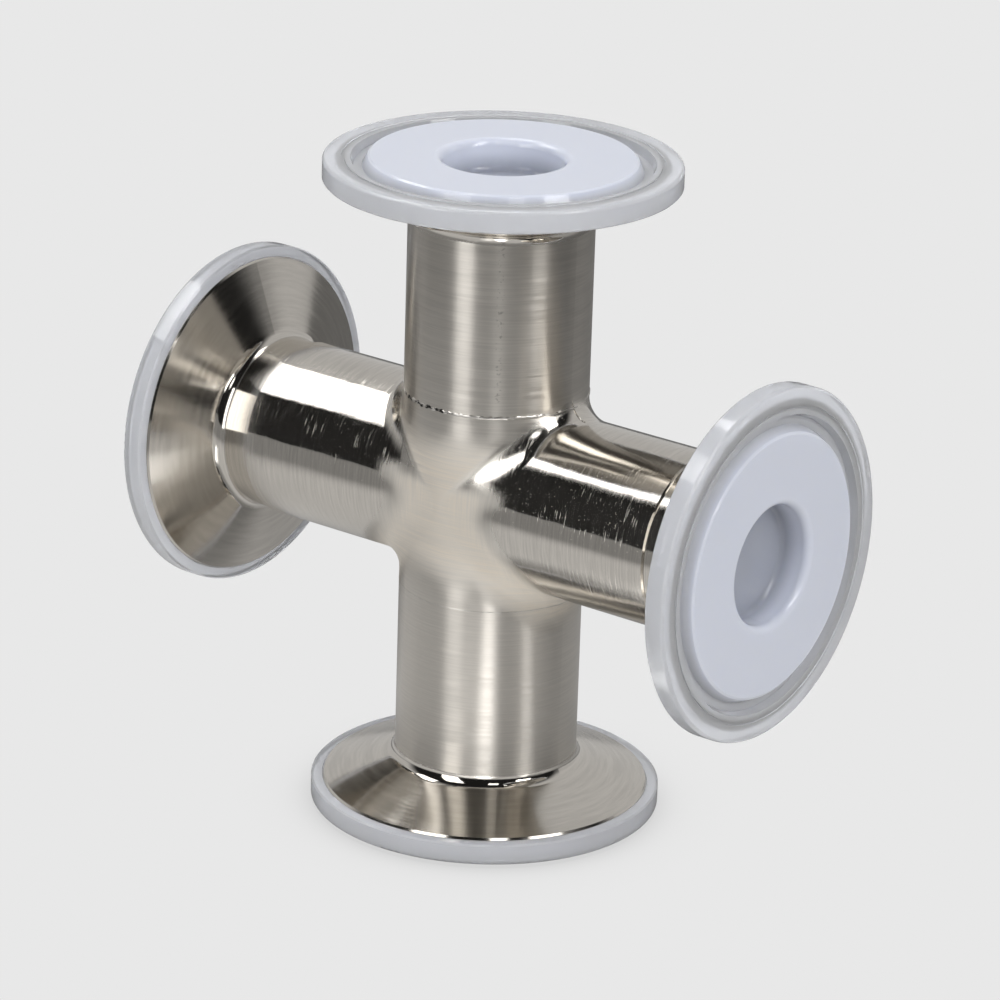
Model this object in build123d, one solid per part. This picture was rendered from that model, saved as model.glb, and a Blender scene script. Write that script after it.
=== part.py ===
"""Sanitary clamp cross: four equal legs of stainless tube, each ending in a clamp ferrule
with a translucent push-on protective cap over it.

Millimetres. The origin is where the two tube axes cross. +Z runs up the run, the tube that
passes straight through, and +X runs along the right branch. The cross rests on its bottom cap.
"""
from build123d import *
from math import radians, tan
import os

# Tubes
run_od = 28.2
branch_od = 27.5
tube_wall = 1.5
face_from_centre = 50.8
joint_above_branch = 1.8
saddle_radius = 3.2
bore_edge_radius = 0.4
joint_shoulder = 0.25

# Clamp ferrules
flange_od = 50.5
flange_edge = 2.85
flange_edge_break = 0.25
cone_angle = 20.0
short_ferrule_length = 12.7
short_neck_step = 0.35
neck_fillet = 1.8
groove_from_edge = 3.5
groove_radius = 1.6

# Protective caps
cap_web = 0.7
skirt_wall = 1.75
skirt_clearance = 0.05
skirt_setback = 0.25
cap_edge_radius = 0.5
bead_clearance = 0.15
trough_width = 1.3
trough_depth = 1.2
trough_bevel = 0.9
plateau_height = 0.5
ridge_width = 0.9
ridge_slot_width = 0.5
ridge_slot_depth = 0.2
cup_depth = 4.8
cup_wall = 1.0
cup_clearance = 1.95
cup_draft = 0.4
cup_lip_radius = 1.2
cup_corner_radius = 0.8

# Sizes that follow
run_radius = run_od / 2
branch_radius = branch_od / 2
short_neck_radius = branch_radius - short_neck_step
run_bore_radius = run_radius - tube_wall
branch_bore_radius = branch_radius - tube_wall
run_joint = branch_radius + joint_above_branch
branch_joint = face_from_centre - short_ferrule_length
flange_radius = flange_od / 2
cone_start = face_from_centre - flange_edge
groove_from_axis = flange_radius - groove_from_edge
skirt_inner_radius = flange_radius + skirt_clearance
cap_radius = skirt_inner_radius + skirt_wall
cap_face = face_from_centre + cap_web
cap_back = cone_start + skirt_setback
plateau_face = cap_face + plateau_height
cup_radius = min(run_bore_radius, branch_bore_radius) - cup_clearance - cup_wall
cup_floor = plateau_face - cup_depth


def revolved(section):
    """The solid that a section in radius and height sweeps about the leg's axis."""
    return revolve(Plane.XZ * section, Axis.Z)


def eased(section, ease, *corners):
    """The section with its corner nearest to each (radius, height) filleted or chamfered by the third value."""
    for radius, height, size in corners:
        nearest = section.vertices().sort_by_distance((radius, height))[0]
        section = ease(nearest, size)
    return section


def crossing_cylinders(run_size, branch_size, half_length, meeting_radius):
    """Cylinders along Z and X, with the saddle edges where they meet rounded."""
    run = Cylinder(run_size, 2 * half_length)
    branch = Rotation(0, 90, 0) * Cylinder(branch_size, 2 * half_length)
    crossed = run + branch
    plain_kinds = (GeomType.CIRCLE, GeomType.LINE)
    saddles = [edge for edge in crossed.edges() if edge.geom_type not in plain_kinds]
    return fillet(saddles, meeting_radius)


def ferrule(neck_radius, bore_radius, foot):
    """A clamp ferrule pointing up: neck, neck radius, sloping back, edge, face and gasket groove."""
    neck_end = cone_start - (flange_radius - neck_radius) * tan(radians(cone_angle))
    section = make_face(Polyline(
        (bore_radius, foot),
        (neck_radius, foot),
        (neck_radius, neck_end),
        (flange_radius, cone_start),
        (flange_radius, face_from_centre),
        (bore_radius, face_from_centre),
        close=True,
    ))
    section = eased(section, fillet, (neck_radius, neck_end, neck_fillet))
    section = eased(
        section, chamfer,
        (flange_radius, cone_start, flange_edge_break),
        (flange_radius, face_from_centre, flange_edge_break),
    )
    groove = Pos(groove_from_axis, face_from_centre) * Circle(groove_radius)
    return revolved(section - groove)


def cross_body():
    """The body with its two drawn branches, parted from the ferrules at the four weld lines."""
    between_welds = Box(2 * branch_joint, 2 * run_od, 2 * run_joint)
    body = (dressed_tubes & between_welds) - bores
    shoulders = body.edges().filter_by(GeomType.CIRCLE).filter_by(
        lambda edge: abs(edge.radius - branch_radius) < 0.01 and abs(abs(edge.center().X) - branch_joint) < 0.01)
    return chamfer(shoulders, joint_shoulder)


def run_ferrule():
    """A long ferrule. The saddles are dressed across its weld, so its foot carries their top."""
    saddle_tops = Pos(0, 0, run_joint + saddle_radius / 2) * Box(2 * run_od, 2 * run_od, saddle_radius)
    return ferrule(run_radius, run_bore_radius, run_joint) + (dressed_tubes & saddle_tops) - bores


def push_on_cap():
    """A cap pointing up: cup, raised disc, trough over the gasket groove, ridge and skirt."""
    trough_inner = groove_from_axis - trough_width / 2
    trough_outer = groove_from_axis + trough_width / 2
    trough_floor = cap_face - trough_depth
    ridge_inner = trough_outer + trough_bevel / 2
    slot_inner = ridge_inner + ridge_width
    section = make_face(Polyline(
        (0, cup_floor),
        (cup_radius - cup_draft, cup_floor),
        (cup_radius, plateau_face),
        (groove_from_axis, plateau_face),
        (groove_from_axis, cap_face),
        (cap_radius, cap_face),
        (cap_radius, cap_back),
        (skirt_inner_radius, cap_back),
        (skirt_inner_radius, face_from_centre),
        (cup_radius + cup_wall, face_from_centre),
        (cup_radius + cup_wall - cup_draft, cup_floor - cup_wall),
        (0, cup_floor - cup_wall),
        close=True,
    ))
    bead = Pos(groove_from_axis, face_from_centre) * Circle(groove_radius - bead_clearance)
    under_face = Pos(groove_from_axis, face_from_centre - groove_radius / 2) * Rectangle(
        2 * groove_radius, groove_radius)
    trough = make_face(Polyline(
        (trough_inner - trough_bevel, plateau_face),
        (trough_inner, trough_floor),
        (trough_outer, trough_floor),
        (ridge_inner, cap_face),
        (ridge_inner, plateau_face),
        close=True,
    ))
    slot = Pos(slot_inner + ridge_slot_width / 2, cap_face) * Rectangle(
        ridge_slot_width, 2 * ridge_slot_depth)
    section = section + (bead & under_face) - trough - slot
    section = eased(
        section, fillet,
        (cup_radius - cup_draft, cup_floor, cup_corner_radius),
        (cup_radius, plateau_face, cup_lip_radius),
        (cap_radius, cap_face, cap_edge_radius),
        (cup_radius + cup_wall - cup_draft, cup_floor - cup_wall, cup_corner_radius),
    )
    section = eased(
        section, chamfer,
        (trough_inner - trough_bevel, plateau_face, plateau_height / 2),
        (cap_radius, cap_back, cap_edge_radius / 2),
    )
    return revolved(section)


# The tubes as they look once welded and dressed, and the bores through them
dressed_tubes = crossing_cylinders(run_radius, branch_radius, face_from_centre, saddle_radius)
bores = crossing_cylinders(run_bore_radius, branch_bore_radius, 2 * face_from_centre, bore_edge_radius)

# Each leg's pieces are drawn pointing up and then turned to the leg
long_ferrule = run_ferrule()
short_ferrule = ferrule(short_neck_radius, branch_bore_radius, branch_joint)
cap = push_on_cap()
legs = {
    "top": (Rotation(0, 0, 0), long_ferrule),
    "bottom": (Rotation(180, 0, 0), long_ferrule),
    "right": (Rotation(0, 90, 0), short_ferrule),
    "left": (Rotation(0, -90, 0), short_ferrule),
}
pieces = {"cross_body": cross_body()}
for side, (turn, leg_ferrule) in legs.items():
    pieces["ferrule_" + side] = turn * leg_ferrule
    pieces["cap_" + side] = turn * cap

os.makedirs("parts", exist_ok=True)
for name, piece in pieces.items():
    export_step(piece, "parts/" + name + ".step")
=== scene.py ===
"""Looks of the sanitary clamp cross: dressed and polished stainless steel with its weld beads,
moulded polyethylene caps, a pale table and soft studio light.

Metres. The origin is where the two tube axes cross, and the cross rests on its bottom cap.
"""
from math import cos, pi, radians, sin

import bmesh
import bpy
import numpy as np
from mathutils import Matrix, Vector


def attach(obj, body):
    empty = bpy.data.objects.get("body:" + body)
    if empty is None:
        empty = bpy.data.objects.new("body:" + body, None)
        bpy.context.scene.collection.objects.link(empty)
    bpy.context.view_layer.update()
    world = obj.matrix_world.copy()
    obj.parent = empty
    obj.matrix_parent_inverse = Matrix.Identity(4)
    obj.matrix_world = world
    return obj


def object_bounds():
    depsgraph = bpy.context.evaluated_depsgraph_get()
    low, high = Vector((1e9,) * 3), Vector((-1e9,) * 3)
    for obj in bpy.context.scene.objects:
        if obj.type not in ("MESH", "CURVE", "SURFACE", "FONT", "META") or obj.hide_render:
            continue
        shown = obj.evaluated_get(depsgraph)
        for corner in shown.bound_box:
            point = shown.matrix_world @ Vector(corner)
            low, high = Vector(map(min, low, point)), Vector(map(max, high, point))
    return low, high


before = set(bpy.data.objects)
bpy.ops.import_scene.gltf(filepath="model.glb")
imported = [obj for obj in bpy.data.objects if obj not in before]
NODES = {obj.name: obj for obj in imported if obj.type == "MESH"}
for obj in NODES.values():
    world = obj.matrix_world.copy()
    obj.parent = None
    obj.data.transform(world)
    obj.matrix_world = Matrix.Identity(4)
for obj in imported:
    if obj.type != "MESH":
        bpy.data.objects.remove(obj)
cad_low, cad_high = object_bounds()
MM = 0.001
UP = (0, 0, 1)
RIGHT = (1, 0, 0)

# Sizes of the part, in millimetres. A pair is where something starts and ends, out from the middle
RUN_RADIUS = 14.1
BRANCH_RADIUS = 13.75
WELD_HEIGHT = 15.55
RUN_NECK = (42.6, 44.3)
BRANCH_NECK = (42.4, 44.1)
CAP_TROUGH_WALL = (20.2, 21.2)
CUP_LIP = (9.6, 10.6)
CUP_WALL = (47.0, 50.5)

# The dressed blend over a branch's crease, in millimetres
SADDLE_LEG = 3.0
SADDLE_LEG_SWING = 0.5
SADDLE_PULL = 0.55
SADDLE_STEPS = 360
SADDLE_POINTS = 25
UNDER_SKIN = 0.3

# The weld beads. The rough stretch lies at this azimuth and fades over this many degrees
BEAD_STEPS = 720
BEAD_POINTS = 14
BEAD_LEAST = 0.1
FINE_WAVES = range(37, 90, 6)
ROUGH_AZIMUTH = -104
ROUGH_SPREAD = 17

# Heights between which the dressed finishes change, in millimetres
SATIN_TO_BRUSHED = (6, 15)
HAZY_TO_CLEAR_POLISH = (-6, 2)
FADED_TO_SHARP_CREASE = (-2, 4)
SPREAD_TO_NO_SPREAD = (2, 7)
SEAM_PITS_START = (17, 19)

# Distances past the crease between which they change, in millimetres
SHARP_CREASE = (-3.0, 0.0)
FADED_CREASE = (-3.0, 7.0)
SATIN_SPREAD = (1, 11)

# Colours
STAINLESS = "D2CDC5"
WELD_METAL = "D6D2CC"
CAP_DISC = "DEE2EE"
CAP_RIM = "EFF1F8"
PAPER = "E8E8E8"
TABLE = "D2D0CC"

# Camera, from the outlines in the photograph
VIEW_AZIMUTH = radians(37.097)
VIEW_ELEVATION = radians(20.354)
VIEW_ROLL = radians(1.816)
VIEW_DISTANCE = 0.7519
VIEW_LENS = 177.4
TARGET_RIGHT = 0.00098
TARGET_UP = -0.00245

# Each softbox's azimuth and elevation in degrees, distance, width and height in metres, and radiance
SOFTBOXES = {
    "overhead_left_softbox": (-167, 50, 0.9, 0.58, 0.30, 4.0),
    "front_left_softbox": (-95, 20, 0.9, 0.34, 0.9, 3.6),
    "right_softbox": (-3, 36, 1.1, 0.35, 0.9, 6.5),
    "overhead_back_softbox": (143, 66, 0.9, 0.25, 0.35, 4.0),
    "overhead_front_softbox": (-40, 42, 0.9, 0.16, 0.20, 3.5),
}
FRONT_FILL = (-40, 30, 1.0, 0.8, 0.8, 0.85)

# Each painted streak of light on the table, seen only in reflections: azimuth in degrees, half its width
# in millimetres, and strength
PAINTED_GLARES = ((-53, 14, 4.4), (-72, 18, 1.0), (-7, 10, 1.4))
TABLE_HALF = 3.0


# Shapes

def carried(name, rings):
    """A ring-shaped mesh: rings[i, j] is point j of the closed profile at step i round the ring."""
    steps, around = rings.shape[:2]
    step, turn = np.arange(steps)[:, None], np.arange(around)[None, :]
    this, after, beside = step * around, (step + 1) % steps * around, (turn + 1) % around
    corners = [this + turn, after + turn, after + beside, this + beside]
    faces = np.stack(corners, -1).reshape(-1, 4).tolist()
    points = rings.reshape(-1, 3)
    mesh = bpy.data.meshes.new(name)
    mesh.from_pydata((points * MM).tolist(), [], faces)
    shell = bmesh.new()
    shell.from_mesh(mesh)
    bmesh.ops.recalc_face_normals(shell, faces=shell.faces)
    shell.to_mesh(mesh)
    shell.free()
    mesh.shade_smooth()
    mesh.set_sharp_from_angle(angle=radians(40))
    piece = bpy.data.objects.new(name, mesh)
    bpy.context.scene.collection.objects.link(piece)
    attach(piece, "root")
    return piece


def unit(vectors):
    """The vectors, each brought to a length of 1."""
    return vectors / np.linalg.norm(vectors, axis=-1, keepdims=True)


def dressed_saddle(name, side):
    """The blend that hand dressing leaves all round a branch's crease.

    At angle a round the branch the crease is (sqrt(R^2 - (r cos a)^2), -r cos a, r sin a), with R the
    run's and r the branch's radius. From it a leg runs square to the crease over each tube, as a helix
    on that cylinder. A cubic Bezier curve, tangent to both tubes, joins the two leg ends, and three
    points inside the metal close the profile. The leg grows and shrinks with sin a, so that the blend
    is widest on top. Side is 1 for the right branch and -1 for the left.
    """
    angle = np.linspace(0, 2 * pi, SADDLE_STEPS, endpoint=False)
    zero = 0 * angle
    crease = np.stack([np.sqrt(RUN_RADIUS**2 - (BRANCH_RADIUS * np.cos(angle))**2),
                       -BRANCH_RADIUS * np.cos(angle), BRANCH_RADIUS * np.sin(angle)], -1)
    along = unit(np.roll(crease, -1, axis=0) - np.roll(crease, 1, axis=0))
    run_normal = np.stack([crease[:, 0], crease[:, 1], zero], -1) / RUN_RADIUS
    branch_normal = np.stack([zero, -np.cos(angle), np.sin(angle)], -1)
    up_run = np.cross(run_normal, along)
    up_run *= -np.sign(up_run[:, :1])
    out_branch = np.cross(branch_normal, along)
    out_branch *= np.sign(out_branch[:, :1])
    leg = SADDLE_LEG + SADDLE_LEG_SWING * np.sin(angle)

    round_run = np.arctan2(crease[:, 1], crease[:, 0])
    run_slide = np.stack([-np.sin(round_run), np.cos(round_run), zero], -1)
    run_turn = round_run + (up_run * run_slide).sum(1) * leg / RUN_RADIUS
    run_end = np.stack([RUN_RADIUS * np.cos(run_turn), RUN_RADIUS * np.sin(run_turn),
                        crease[:, 2] + up_run[:, 2] * leg], -1)
    run_end_normal = np.stack([np.cos(run_turn), np.sin(run_turn), zero], -1)
    run_tangent = (up_run * run_slide).sum(1)[:, None] * np.stack(
        [-np.sin(run_turn), np.cos(run_turn), zero], -1) + up_run[:, 2:] * [UP]

    branch_slide = np.stack([zero, np.sin(angle), np.cos(angle)], -1)
    branch_turn = angle + (out_branch * branch_slide).sum(1) * leg / BRANCH_RADIUS
    branch_end = np.stack([crease[:, 0] + out_branch[:, 0] * leg, -BRANCH_RADIUS * np.cos(branch_turn),
                           BRANCH_RADIUS * np.sin(branch_turn)], -1)
    branch_end_normal = np.stack([zero, -np.cos(branch_turn), np.sin(branch_turn)], -1)
    branch_tangent = (out_branch * branch_slide).sum(1)[:, None] * np.stack(
        [zero, np.sin(branch_turn), np.cos(branch_turn)], -1) + out_branch[:, :1] * [RIGHT]

    reach = SADDLE_PULL * leg[:, None]
    t = np.linspace(0, 1, SADDLE_POINTS)[None, :, None]
    ends = [run_end, run_end - reach * run_tangent, branch_end - reach * branch_tangent, branch_end]
    a, b, c, d = (end[:, None] for end in ends)
    blend = (1 - t)**3 * a + 3 * t * (1 - t)**2 * b + 3 * t**2 * (1 - t) * c + t**3 * d
    inner = np.stack([branch_end - UNDER_SKIN * branch_end_normal,
                      crease - UNDER_SKIN * unit(run_normal + branch_normal),
                      run_end - UNDER_SKIN * run_end_normal], 1)
    return carried(name, np.concatenate([blend, inner], 1) * [side, 1, 1])


def wander(angle, waves, seed):
    """A wavering value of about -1 to 1.

    It is 1.6 times the mean of sines of the angle, of which wave w has the phase seed * w^2.
    """
    waves = np.array(waves)[:, None]
    return 1.6 * np.sin(waves * angle + seed * waves**2).mean(0)


def uneven(angle, rough, waves, seeds, coarse, fine):
    """The sum of coarse waves and of fine ones, which grow with the roughness at each angle."""
    return coarse * wander(angle, waves, seeds[0]) + fine * rough * wander(angle, FINE_WAVES, seeds[1])


def weld_bead(name, height, rise, half_width, rough):
    """The bead round a run joint: an ellipse carried round the joint's outer edge.

    The edge is read from the body. The ellipse's rise, width and height on the tube waver with the
    angle, and more by the factor rough on the front left, where the bead was left as welded.
    """
    mesh = NODES["cross_body"].data
    points = np.empty(len(mesh.vertices) * 3, dtype=np.float32)
    mesh.vertices.foreach_get("co", points)
    points = points.reshape(-1, 3) / MM
    far = np.hypot(points[:, 0], points[:, 1])
    same_height, near_outside = 0.01, 0.5
    on_joint = abs(points[:, 2] - height) < same_height
    edge = points[on_joint & (far > RUN_RADIUS - near_outside)]
    angle = np.linspace(-pi, pi, BEAD_STEPS, endpoint=False)
    outline = np.interp(angle, np.arctan2(edge[:, 1], edge[:, 0]), np.hypot(edge[:, 0], edge[:, 1]),
                        period=2 * pi)
    left_rough = 1 + (rough - 1) * np.exp(-((np.degrees(angle) - ROUGH_AZIMUTH) / ROUGH_SPREAD)**2)
    proud = rise * (1 + uneven(angle, left_rough, range(5, 40, 3), (0.7, 1.3), coarse=0.35, fine=0.2))
    wide = half_width * (1 + uneven(angle, left_rough, range(4, 30, 3), (2.1, 0.4), coarse=0.3, fine=0.2))
    strayed = half_width * uneven(angle, left_rough, range(1, 12), (1.9, 2.6), coarse=0.4, fine=0.3)
    turn = np.linspace(0, 2 * pi, BEAD_POINTS, endpoint=False)[None, :]
    out = outline[:, None] + np.maximum(proud, BEAD_LEAST * rise)[:, None] * np.cos(turn)
    high = (height + strayed)[:, None] + np.maximum(wide, BEAD_LEAST * half_width)[:, None] * np.sin(turn)
    rings = np.stack([out * np.cos(angle)[:, None], out * np.sin(angle)[:, None], high], -1)
    return carried(name, rings)


# Nodes

def linear(hex_colour):
    """The linear colour, with alpha 1, of an sRGB hex value."""
    channels = [int(hex_colour[i:i + 2], 16) / 255 for i in (0, 2, 4)]
    return [c / 12.92 if c <= 0.04045 else ((c + 0.055) / 1.055) ** 2.4 for c in channels] + [1.0]


def add(tree, kind, inputs=None, **settings):
    """A node with its settings. Each input is a value, or an output socket that is linked to it."""
    node = tree.nodes.new("ShaderNode" + kind)
    for key, value in settings.items():
        setattr(node, key, value)
    for key, value in (inputs or {}).items():
        if isinstance(value, bpy.types.NodeSocket):
            tree.links.new(value, node.inputs[key])
        else:
            node.inputs[key].default_value = value
    return node


def new_material(name):
    """An empty node material and its tree."""
    material = bpy.data.materials.new(name)
    material.use_nodes = True
    material.node_tree.nodes.clear()
    return material, material.node_tree


def arithmetic(tree, operation, *values):
    """The result of a Math node on values or sockets."""
    return add(tree, "Math", dict(enumerate(values)), operation=operation).outputs[0]


def product(tree, *values):
    """The values or sockets multiplied together."""
    result = values[0]
    for value in values[1:]:
        result = arithmetic(tree, "MULTIPLY", result, value)
    return result


def blended(tree, factor, first, second):
    """The value that goes from the first to the second as the factor goes from 0 to 1."""
    return add(tree, "Mix", {0: factor, 2: first, 3: second}, data_type="FLOAT").outputs[0]


def over(tree, value, start, end, low=0.0, high=1.0):
    """A smooth step from low to high as the value goes from start to end."""
    limits = {"Value": value, "From Min": start, "From Max": end, "To Min": low, "To Max": high}
    return add(tree, "MapRange", limits, interpolation_type="SMOOTHSTEP").outputs[0]


def towards(tree, place, direction):
    """How far along a direction the place lies, in the place's own unit."""
    return add(tree, "VectorMath", {0: place, 1: direction}, operation="DOT_PRODUCT").outputs["Value"]


def millimetres(tree):
    """The place on the piece in millimetres."""
    place = add(tree, "TexCoord").outputs["Object"]
    return add(tree, "VectorMath", {0: place, "Scale": 1 / MM}, operation="SCALE").outputs[0]


def strokes(tree, place, size, turn=(0, 0, 0), detail=3.0):
    """Noise whose grains have the given size along each axis of the place, once it is turned."""
    turning = {"Vector": place, "Rotation": turn}
    turned = add(tree, "VectorRotate", turning, rotation_type="EULER_XYZ").outputs[0]
    grain = add(tree, "VectorMath", {0: turned, 1: size}, operation="DIVIDE").outputs[0]
    noise = {"Vector": grain, "Scale": 1.0, "Detail": detail, "Roughness": 0.6}
    return add(tree, "TexNoise", noise).outputs[0]


# Steel

def finish_steel(tree, rough, lines, height, tangent, tint=1.0, colour=STAINLESS):
    """The stainless shader. The hairlines vary its roughness and tone, and light smears along the tangent.

    The height is in millimetres. Brushing across the tangent gives the smear, and coarse satin, which
    is dressed from all sides, has little of it.
    """
    most_lines, rougher, paler = (0.25, 0.75), (0.84, 1.16), (0.90, 1.04)
    worn = product(tree, rough, over(tree, lines, *most_lines, *rougher))
    tone = product(tree, over(tree, lines, *most_lines, *paler), tint)
    multiplied = {0: 1.0, 6: linear(colour), 7: tone}
    shade = add(tree, "Mix", multiplied, data_type="RGBA", blend_type="MULTIPLY").outputs[2]
    relief = add(tree, "Bump", {"Height": height, "Strength": 1.0, "Distance": MM}).outputs[0]
    brushed_to_satin, less_smear = (0.35, 0.75), (0.88, 0.2)
    smear = over(tree, rough, *brushed_to_satin, *less_smear)
    steel = add(tree, "BsdfPrincipled", {"Base Color": shade, "Metallic": 1.0, "Roughness": worn,
                                         "Anisotropic": smear, "Normal": relief, "Tangent": tangent})
    add(tree, "OutputMaterial", {"Surface": steel.outputs[0]})


def leg_roughness(tree, along, neck_ends, tube, neck, cone):
    """Roughness along a leg: tube, then the polished neck radius, then the turned cone."""
    start, end = neck_ends
    outside, inside = 0.3, 0.1
    to_neck = over(tree, along, start - outside, start + inside, tube, neck)
    to_cone = over(tree, along, end - inside, end + outside, 0.0, cone - neck)
    return arithmetic(tree, "ADD", to_neck, to_cone)


def buffed_stainless_branch_ferrule():
    """Stainless steel, turned and buffed: it mirrors the room, with faint lines round the branch."""
    material, tree = new_material("buffed_stainless_branch_ferrule")
    place = millimetres(tree)
    along = arithmetic(tree, "ABSOLUTE", towards(tree, place, RIGHT))
    rough = leg_roughness(tree, along, BRANCH_NECK, tube=0.12, neck=0.1, cone=0.14)
    # Turning marks are near 0.05 mm apart, drawn at 0.25 mm so that they show
    lines = strokes(tree, place, (0.25, 8, 8))
    mark_depth = 0.003
    tangent = add(tree, "CombineXYZ", {"X": 1.0}).outputs[0]
    finish_steel(tree, rough, lines, product(tree, lines, mark_depth), tangent)
    return material


def past_crease(tree, place):
    """How far out from the crease of run and branch a place lies, in millimetres.

    On the branch side of the body's surface it is above 0: |x| - sqrt(z^2 + R^2 - r^2).
    """
    along = towards(tree, place, UP)
    out = arithmetic(tree, "ABSOLUTE", towards(tree, place, RIGHT))
    squared = arithmetic(tree, "MULTIPLY_ADD", along, along, RUN_RADIUS**2 - BRANCH_RADIUS**2)
    return arithmetic(tree, "SUBTRACT", out, arithmetic(tree, "SQRT", squared))


def scratches(tree, place):
    """Fine scratches round the branches, thick in some patches, and a few that slant across them.

    It is 0 where there is none and 1 in a scratch. They are near 0.05 mm wide, drawn four or five
    times as wide so that they show.
    """
    half, some, few = (0.42, 0.58), (0.60, 0.70), (0.71, 0.77)
    slant = (0.3, -0.5, 0.9)
    patch = over(tree, strokes(tree, place, (9, 5, 5)), *half)
    ringed = over(tree, strokes(tree, place, (0.2, 5, 5), detail=1.0), *some)
    slanting = over(tree, strokes(tree, place, (5, 0.25, 0.25), slant, detail=1.0), *few)
    return arithmetic(tree, "MAXIMUM", product(tree, ringed, patch), slanting)


def seam_pits(tree, place):
    """How much the pits along the tube's lengthwise seam darken the upper leg's front and back."""
    across_seam, seam_edge = (0.788, 0.616, 0), (0.2, 0.7)
    aside = arithmetic(tree, "ABSOLUTE", towards(tree, place, across_seam))
    on_seam = over(tree, aside, *seam_edge, 1.0, 0.0)
    above_weld = over(tree, towards(tree, place, UP), *SEAM_PITS_START)
    some, darkness = (0.57, 0.66), 0.3
    grains = over(tree, strokes(tree, place, (0.6, 0.6, 0.45), detail=1.0), *some, 0.0, darkness)
    return product(tree, grains, product(tree, on_seam, above_weld))


def dressed_roughness(tree, place, past, branch, worn):
    """Roughness of brushed legs, of coarse satin at the crossing and of polished branches.

    Low on the crease the satin spreads over both tubes, so that they run into each other without a line.
    """
    up = towards(tree, place, UP)
    along = arithmetic(tree, "ABSOLUTE", up)
    leg = leg_roughness(tree, along, RUN_NECK, tube=0.33, neck=0.08, cone=0.15)
    more_at_crossing, hazy, clear, scratch, at_crease = 0.47, 0.2, 0.1, 0.05, 0.8
    satin = arithmetic(tree, "ADD", leg, over(tree, along, *SATIN_TO_BRUSHED, more_at_crossing, 0.0))
    smooth = over(tree, up, *HAZY_TO_CLEAR_POLISH, hazy, clear)
    polish = arithmetic(tree, "MULTIPLY_ADD", worn, scratch, smooth)
    near_crease = over(tree, arithmetic(tree, "ABSOLUTE", past), *SATIN_SPREAD, at_crease, 0.0)
    spread = product(tree, near_crease, over(tree, up, *SPREAD_TO_NO_SPREAD, 1.0, 0.0))
    return arithmetic(tree, "MAXIMUM", blended(tree, branch, satin, polish), spread)


def dressed_height(tree, place, branch, lines, worn):
    """Height in millimetres: brush lines on the run; hairlines, scratches and ripples on the branches."""
    run_line, branch_line, scratch, swell = 0.005, 0.003, -0.006, 0.045
    ripple = strokes(tree, place, (5, 5, 5), detail=1.0)
    dug = arithmetic(tree, "MULTIPLY_ADD", worn, scratch, product(tree, lines, branch_line))
    on_branch = arithmetic(tree, "MULTIPLY_ADD", ripple, swell, dug)
    return blended(tree, branch, product(tree, lines, run_line), on_branch)


def dressed_stainless():
    """Stainless steel dressed by hand: a satin run, brushed round its axis, and mirror-polished branches.

    High on the crease the satin stops and the sheen turns to a clear reflection, and low on it the one
    fades into the other. The polish leaves shallow ripples, which bend the edges of the reflections, and
    fine scratches, which glitter in the dark ones.
    """
    material, tree = new_material("dressed_stainless_run_and_body")
    place = millimetres(tree)
    past = past_crease(tree, place)
    high_up = over(tree, towards(tree, place, UP), *FADED_TO_SHARP_CREASE)
    branch = blended(tree, high_up, over(tree, past, *FADED_CREASE), over(tree, past, *SHARP_CREASE))
    worn = scratches(tree, place)
    rough = dressed_roughness(tree, place, past, branch, worn)
    # Brush lines are near 0.05 mm apart, drawn at 0.3 mm so that they show
    round_run = strokes(tree, place, (9, 9, 0.28))
    round_branch = strokes(tree, place, (0.3, 6, 6))
    lines = blended(tree, branch, round_run, round_branch)
    height = dressed_height(tree, place, branch, lines, worn)
    on_run = arithmetic(tree, "SUBTRACT", 1.0, branch)
    tangent = add(tree, "CombineXYZ", {"X": branch, "Z": on_run}).outputs[0]
    # Painted sheen: coarse satin is given a colour up to 1.34 times paler, for the light that it scatters
    # back from every side
    brushed_to_satin, painted_sheen_gain = (0.35, 0.8), 1.34
    pale = over(tree, rough, *brushed_to_satin, 1.0, painted_sheen_gain)
    tint = product(tree, pale, arithmetic(tree, "SUBTRACT", 1.0, seam_pits(tree, place)))
    finish_steel(tree, rough, lines, height, tangent, tint)
    return material


def welded_stainless():
    """Stainless weld metal, brushed but not ground: a bright crest, with dark pits where it is rough."""
    material, tree = new_material("welded_stainless_bead")
    place = millimetres(tree)
    lines = strokes(tree, place, (0.5, 0.5, 0.5))
    front_left, rough_stretch = (-0.242, -0.970, 0), (12.5, 13.6)
    left = over(tree, towards(tree, place, front_left), *rough_stretch)
    upper = over(tree, towards(tree, place, UP), 0, 1)
    half, darkness = (0.44, 0.52), 0.93
    pits = over(tree, strokes(tree, place, (0.9, 0.9, 0.6), detail=2.0), *half, 0.0, darkness)
    tint = arithmetic(tree, "SUBTRACT", 1.0, product(tree, pits, product(tree, left, upper)))
    rough, grain_depth = 0.35, 0.03
    tangent = add(tree, "CombineXYZ", {"Z": 1.0}).outputs[0]
    finish_steel(tree, rough, lines, product(tree, lines, grain_depth), tangent, tint, WELD_METAL)
    return material


# Plastic

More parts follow.
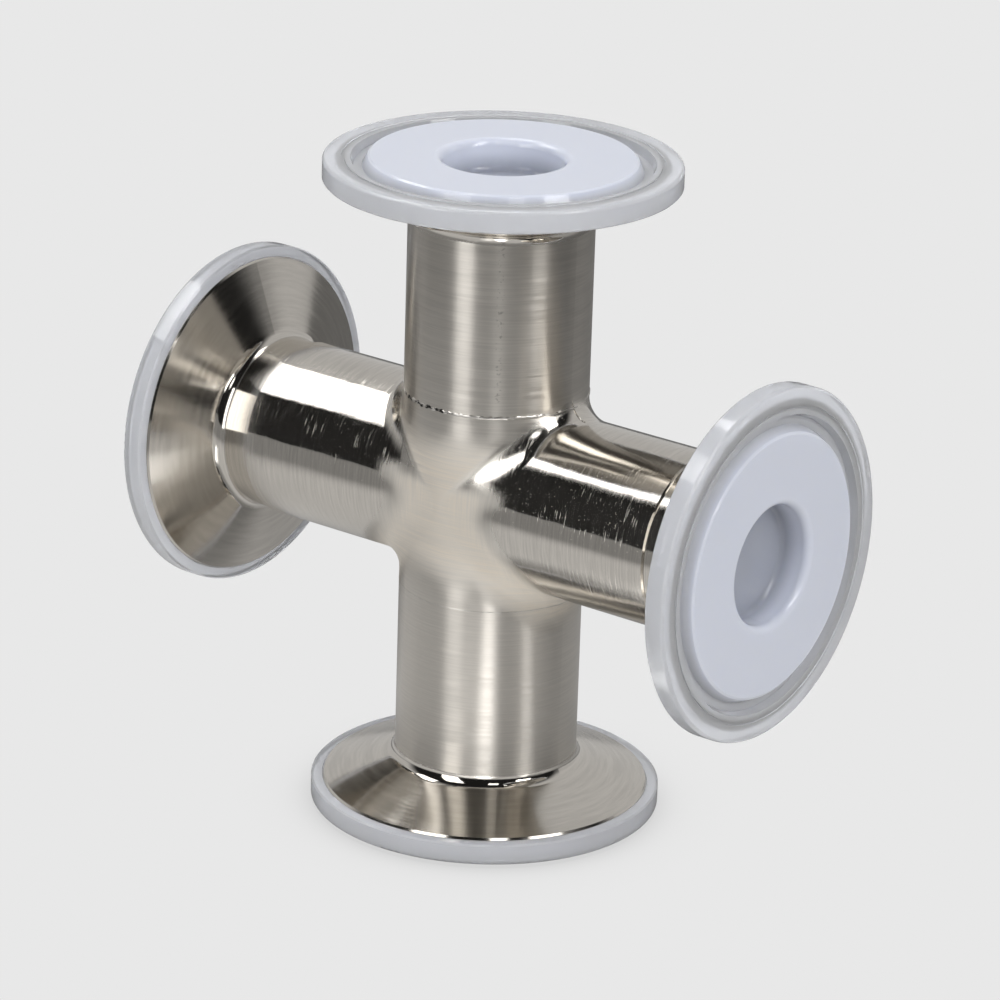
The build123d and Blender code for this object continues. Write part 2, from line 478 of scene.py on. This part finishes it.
def moulded_polyethylene(name, axis):
    """Low-density polyethylene, moulded: milky where it is thick, with a soft blue cast, and glassier on
    the thin rim and in the cup, where what lies behind shows through. Axis is the cap's own."""
    material, tree = new_material(name)
    place = millimetres(tree)
    across = (1, 1, 0) if axis == "Z" else (0, 1, 1)
    flat = add(tree, "VectorMath", {0: place, 1: across}, operation="MULTIPLY").outputs[0]
    radius = add(tree, "VectorMath", {0: flat}, operation="LENGTH").outputs["Value"]
    along = arithmetic(tree, "ABSOLUTE", add(tree, "SeparateXYZ", {0: place}).outputs[axis])
    disc_clear, rim_clear, floor_clear = 0.1, 0.46, 0.5
    rim = over(tree, radius, *CAP_TROUGH_WALL)
    cup = over(tree, along, *CUP_WALL, floor_clear, 0.0)
    inside = over(tree, radius, *CUP_LIP, 1.0, 0.0)
    cup_clear = arithmetic(tree, "MULTIPLY_ADD", cup, inside, disc_clear)
    clear = arithmetic(tree, "MULTIPLY_ADD", rim, rim_clear, cup_clear)
    colours = {0: rim, 6: linear(CAP_DISC), 7: linear(CAP_RIM)}
    tint = add(tree, "Mix", colours, data_type="RGBA").outputs[2]
    disc_rough, rim_rough = 0.1, 0.05
    gloss = over(tree, radius, *CAP_TROUGH_WALL, disc_rough, rim_rough)
    plastic = add(tree, "BsdfPrincipled", {"Base Color": tint, "Roughness": gloss, "IOR": 1.51,
                                           "Transmission Weight": clear, "Subsurface Weight": 1.0,
                                           "Subsurface Radius": (1, 1, 1), "Subsurface Scale": 0.8 * MM})
    add(tree, "OutputMaterial", {"Surface": plastic.outputs[0]})
    return material


def give(piece, material):
    """Puts the material in every slot of a piece, or in a new one."""
    if not piece.material_slots:
        piece.data.materials.append(None)
    for slot in piece.material_slots:
        slot.material = material


# The object

DRESSED = dressed_stainless()
BRANCH_FERRULE = buffed_stainless_branch_ferrule()
RUN_CAP = moulded_polyethylene("moulded_polyethylene_run_caps", "Z")
BRANCH_CAP = moulded_polyethylene("moulded_polyethylene_branch_caps", "X")
FINISHES = {"cross_body": DRESSED, "ferrule_top": DRESSED, "ferrule_bottom": DRESSED,
            "ferrule_left": BRANCH_FERRULE, "ferrule_right": BRANCH_FERRULE,
            "cap_top": RUN_CAP, "cap_bottom": RUN_CAP, "cap_left": BRANCH_CAP, "cap_right": BRANCH_CAP}
for name, finish in FINISHES.items():
    give(NODES[name], finish)

give(dressed_saddle("saddle_right", 1), DRESSED)
give(dressed_saddle("saddle_left", -1), DRESSED)
WELDED = welded_stainless()
give(weld_bead("weld_bead_top", WELD_HEIGHT, rise=0.11, half_width=0.24, rough=3.0), WELDED)
# The lower bead was ground almost flush
give(weld_bead("weld_bead_bottom", -WELD_HEIGHT, rise=0.025, half_width=0.07, rough=1.0), WELDED)


# The studio

def set_camera():
    """The photograph's camera, turned by its roll about the line of sight."""
    back = Vector((sin(VIEW_AZIMUTH) * cos(VIEW_ELEVATION), -cos(VIEW_AZIMUTH) * cos(VIEW_ELEVATION),
                   sin(VIEW_ELEVATION)))
    level = Vector((cos(VIEW_AZIMUTH), sin(VIEW_AZIMUTH), 0))
    right = cos(VIEW_ROLL) * level + sin(VIEW_ROLL) * back.cross(level)
    up = back.cross(right)
    spot = TARGET_RIGHT * right + TARGET_UP * up + VIEW_DISTANCE * back
    camera = bpy.data.objects.new("camera", bpy.data.cameras.new("camera"))
    camera.data.lens = VIEW_LENS
    camera.data.sensor_width = 36
    camera.matrix_world = Matrix.Translation(spot) @ Matrix((right, up, back)).transposed().to_4x4()
    bpy.context.scene.collection.objects.link(camera)
    bpy.context.scene.camera = camera


def softbox(name, azimuth, elevation, distance, width, height, radiance):
    """A panel of light facing the middle of the cross. Its power gives the panel the stated radiance."""
    lamp = bpy.data.lights.new(name, "AREA")
    lamp.shape = "RECTANGLE"
    lamp.size = width
    lamp.size_y = height
    lamp.energy = radiance * pi * width * height
    a, e = radians(azimuth), radians(elevation)
    direction = Vector((cos(a) * cos(e), sin(a) * cos(e), sin(e)))
    panel = bpy.data.objects.new(name, lamp)
    turn = direction.to_track_quat("Z", "Y").to_matrix().to_4x4()
    panel.matrix_world = Matrix.Translation(direction * distance) @ turn
    panel.visible_camera = False
    bpy.context.scene.collection.objects.link(panel)
    return panel


def set_room():
    """A pale backdrop to the camera and through the plastic, and a room that is light at the back only."""
    world = bpy.data.worlds.new("studio")
    world.use_nodes = True
    bpy.context.scene.world = world
    tree = world.node_tree
    tree.nodes.clear()
    ray = add(tree, "LightPath").outputs
    direction = add(tree, "TexCoord").outputs["Generated"]
    to_back, from_side = (-0.60, 0.80, 0), (0.0, 0.35)
    dark, light = 0.015, 0.6
    brightness = over(tree, towards(tree, direction, to_back), *from_side, dark, light)
    seen = arithmetic(tree, "MAXIMUM", ray["Is Camera Ray"], ray["Is Transmission Ray"])
    room = add(tree, "Background", {"Color": (1, 1, 1, 1), "Strength": brightness})
    paper = add(tree, "Background", {"Color": linear(PAPER), "Strength": 1.0})
    chosen = add(tree, "MixShader", {0: seen, 1: room.outputs[0], 2: paper.outputs[0]})
    add(tree, "OutputWorld", {"Surface": chosen.outputs[0]})


def painted_glare(tree, place, azimuth, half_width, strength):
    """A painted streak of light on the table, seen only in reflections, from 35 to 105 mm out along an
    azimuth.
    """
    ahead = towards(tree, place, (cos(azimuth), sin(azimuth), 0))
    aside = arithmetic(tree, "ABSOLUTE", towards(tree, place, (-sin(azimuth), cos(azimuth), 0)))
    near_end = over(tree, ahead, 35, 45)
    far_end = over(tree, ahead, 80, 105, 1.0, 0.0)
    return product(tree, over(tree, aside, 2, half_width, strength, 0.0), product(tree, near_end, far_end))


def painted_table_light(tree, place, shade):
    """The table's painted brightness as the steel mirrors it: it glows rather than being lit by the lamps.

    It is dim at the bottom cap, a painted shadow, dim far off and bright between, most on the front, with
    painted streaks of light.
    """
    far = add(tree, "VectorMath", {0: place}, operation="LENGTH").outputs["Value"]
    to_front = (0, -1, 0)
    painted_far_dimming = over(tree, far, 120, 200, 1.0, 0.45)
    painted_front_light = over(tree, towards(tree, place, to_front), -45, 5, 0.48, 0.8)
    painted_shadow_near_cap = over(tree, far, 60, 72, 0.45, 1.0)
    bright = product(tree, painted_far_dimming, painted_front_light, painted_shadow_near_cap, shade)
    for azimuth, half_width, strength in PAINTED_GLARES:
        streak = painted_glare(tree, place, radians(azimuth), half_width, strength)
        bright = arithmetic(tree, "ADD", bright, streak)
    return bright


def matt_table():
    """Matt laminate, which shows the backdrop's colour with a painted soft contact shadow, so no edge
    shows.
    """
    material, tree = new_material("pale_matt_table")
    ray = add(tree, "LightPath").outputs
    # Painted contact shadow: ambient occlusion darkens the table's glow next to the cross
    occlusion = add(tree, "AmbientOcclusion", {"Distance": 0.012}, samples=16).outputs["AO"]
    shade = add(tree, "MapRange", {"Value": occlusion, "From Min": 0.4, "From Max": 0.98,
                                   "To Min": 0.8, "To Max": 1.0}).outputs[0]
    mirrored = painted_table_light(tree, millimetres(tree), shade)
    plain = add(tree, "BsdfPrincipled", {"Base Color": linear(TABLE), "Roughness": 0.7})
    # The steel sees the table's painted light and shadow; the camera sees its colour with the painted
    # contact shadow
    in_steel = add(tree, "Emission", {"Color": linear(PAPER), "Strength": mirrored})
    seen = add(tree, "Emission", {"Color": linear(PAPER), "Strength": shade})
    lit = add(tree, "MixShader", {0: ray["Is Glossy Ray"], 1: plain.outputs[0], 2: in_steel.outputs[0]})
    direct = arithmetic(tree, "MAXIMUM", ray["Is Camera Ray"], ray["Is Transmission Ray"])
    chosen = add(tree, "MixShader", {0: direct, 1: lit.outputs[0], 2: seen.outputs[0]})
    add(tree, "OutputMaterial", {"Surface": chosen.outputs[0]})
    return material


def set_table():
    """A flat table at the height of the cross's lowest point."""
    z = cad_low.z
    ends = ((-1, -1), (1, -1), (1, 1), (-1, 1))
    mesh = bpy.data.meshes.new("table")
    mesh.from_pydata([(TABLE_HALF * x, TABLE_HALF * y, z) for x, y in ends], [], [(0, 1, 2, 3)])
    table = bpy.data.objects.new("table", mesh)
    bpy.context.scene.collection.objects.link(table)
    give(table, matt_table())


set_camera()
set_room()
set_table()
for name, panel in SOFTBOXES.items():
    softbox(name, *panel)
# The fill lights the plastic and the table, and isn't mirrored in the steel
softbox("front_fill", *FRONT_FILL).visible_glossy = False

bpy.context.scene.view_settings.view_transform = "Standard"
